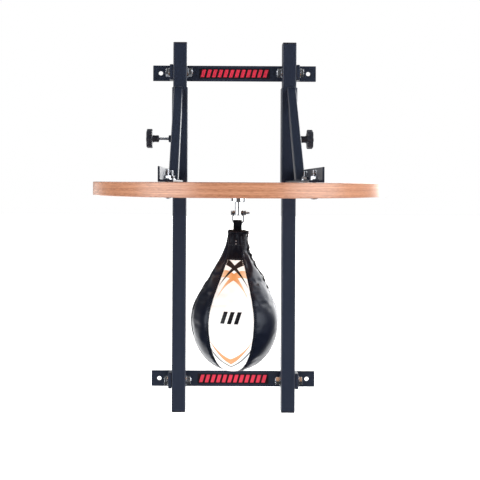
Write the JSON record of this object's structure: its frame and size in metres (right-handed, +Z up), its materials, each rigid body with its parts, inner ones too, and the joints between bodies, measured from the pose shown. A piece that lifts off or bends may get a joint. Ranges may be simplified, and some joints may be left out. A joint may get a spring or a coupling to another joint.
{
  "type": "speed bag platform",
  "caption": "Wall-mounted speed bag platform: steel posts on crossbars, a height-adjustable round plywood board locked by star knobs, and a pear-shaped leather bag on a swivel.",
  "frame": {"origin": "centre of the upper crossbar's back face, on the wall", "axes": "+X to the right of someone facing the wall, +Y into the wall, +Z up"},
  "size_m": [0.61, 0.6772, 0.94],
  "materials": {
    "frame_paint": "semi-gloss powder coat, dark navy",
    "zinc": "bright zinc plate",
    "chrome": "polished",
    "black_plastic": "fine grained",
    "plywood": "clear satin varnish over orange-tan plies",
    "bag_leather": "glossy, with white front and back gores",
    "strap_leather": "satin",
    "latex": "matt",
    "lace_cord": "waxed cotton"
  },
  "bodies": {
    "wall_frame": {"upper_crossbar": "frame_paint", "lower_crossbar": "frame_paint", "left_post": "frame_paint", "left_post_top_cap": "black_plastic", "left_post_bottom_cap": "black_plastic", "upper_left_frame_bolt": "zinc", "upper_left_frame_head_washer": "zinc", "upper_left_frame_nut_washer": "zinc", "upper_left_frame_nut": "zinc", "lower_left_frame_bolt": "zinc", "lower_left_frame_head_washer": "zinc", "lower_left_frame_nut_washer": "zinc", "lower_left_frame_nut": "zinc", "right_post": "frame_paint", "right_post_top_cap": "black_plastic", "right_post_bottom_cap": "black_plastic", "upper_right_frame_bolt": "zinc", "upper_right_frame_head_washer": "zinc", "upper_right_frame_nut_washer": "zinc", "upper_right_frame_nut": "zinc", "lower_right_frame_bolt": "zinc", "lower_right_frame_head_washer": "zinc", "lower_right_frame_nut_washer": "zinc", "lower_right_frame_nut": "zinc"},
    "carriage": {"platform_board": "plywood", "left_sleeve": "frame_paint", "left_brace": "frame_paint", "left_angle_iron": "frame_paint", "left_front_board_bolt": "zinc", "left_front_board_nut": "zinc", "left_middle_board_bolt": "zinc", "left_middle_board_nut": "zinc", "left_back_board_bolt": "zinc", "left_back_board_nut": "zinc", "right_sleeve": "frame_paint", "right_brace": "frame_paint", "right_angle_iron": "frame_paint", "right_front_board_bolt": "zinc", "right_front_board_nut": "zinc", "right_middle_board_bolt": "zinc", "right_middle_board_nut": "zinc", "right_back_board_bolt": "zinc", "right_back_board_nut": "zinc", "swivel_base": "chrome", "swivel_bearing": "zinc", "swivel_screw_1": "zinc", "swivel_screw_2": "zinc", "swivel_screw_3": "zinc"},
    "left_lock_screw": {"left_lock_bolt": "zinc"},
    "left_lock_handle": {"left_lock_knob": "black_plastic"},
    "right_lock_screw": {"right_lock_bolt": "zinc"},
    "right_lock_handle": {"right_lock_knob": "black_plastic"},
    "swivel": {"swivel_stem": "chrome", "shackle_pin": "zinc", "shackle_pin_nut": "zinc"},
    "shackle_bow": {"shackle": "chrome"},
    "bag": {"hanging_strap": "strap_leather", "bag_cover": "bag_leather", "bag_bladder": "latex", "bag_lace": "lace_cord"}
  },
  "joints": [
    {"name": "platform_height", "type": "slide", "parent": "wall_frame", "child": "carriage", "axis": [0, 0, 1], "range_m": [-0.45, 0]},
    {"name": "left_lock_travel", "type": "slide", "parent": "carriage", "child": "left_lock_screw", "axis": [1, 0, 0], "range_m": [0, 0.02375]},
    {"name": "left_lock_turn", "type": "hinge", "parent": "left_lock_screw", "child": "left_lock_handle", "pos_m": [-0.19205, -0.0228, -0.17], "axis": [1, 0, 0], "range_deg": [0, 6840]},
    {"name": "right_lock_travel", "type": "slide", "parent": "carriage", "child": "right_lock_screw", "axis": [1, 0, 0], "range_m": [0, 0.02375]},
    {"name": "right_lock_turn", "type": "hinge", "parent": "right_lock_screw", "child": "right_lock_handle", "pos_m": [0.1683, -0.0228, -0.17], "axis": [1, 0, 0], "range_deg": [0, 6840]},
    {"name": "swivel_spin", "type": "hinge", "parent": "carriage", "child": "swivel", "pos_m": [0, -0.37, -0.3283], "axis": [0, 0, 1], "continuous": true},
    {"name": "shackle_swing", "type": "hinge", "parent": "swivel", "child": "shackle_bow", "pos_m": [0, -0.37, -0.3453], "axis": [1, 0, 0], "range_deg": [-45, 45]},
    {"name": "bag_swing", "type": "hinge", "parent": "shackle_bow", "child": "bag", "pos_m": [0, -0.37, -0.3658], "axis": [1, 0, 0], "range_deg": [-25, 25]}
  ],
  "couplings": [
    {"joint": "left_lock_travel", "follows": "left_lock_turn", "m_per_rad": 0.00019894},
    {"joint": "right_lock_travel", "follows": "right_lock_turn", "m_per_rad": 0.00019894}
  ]
}
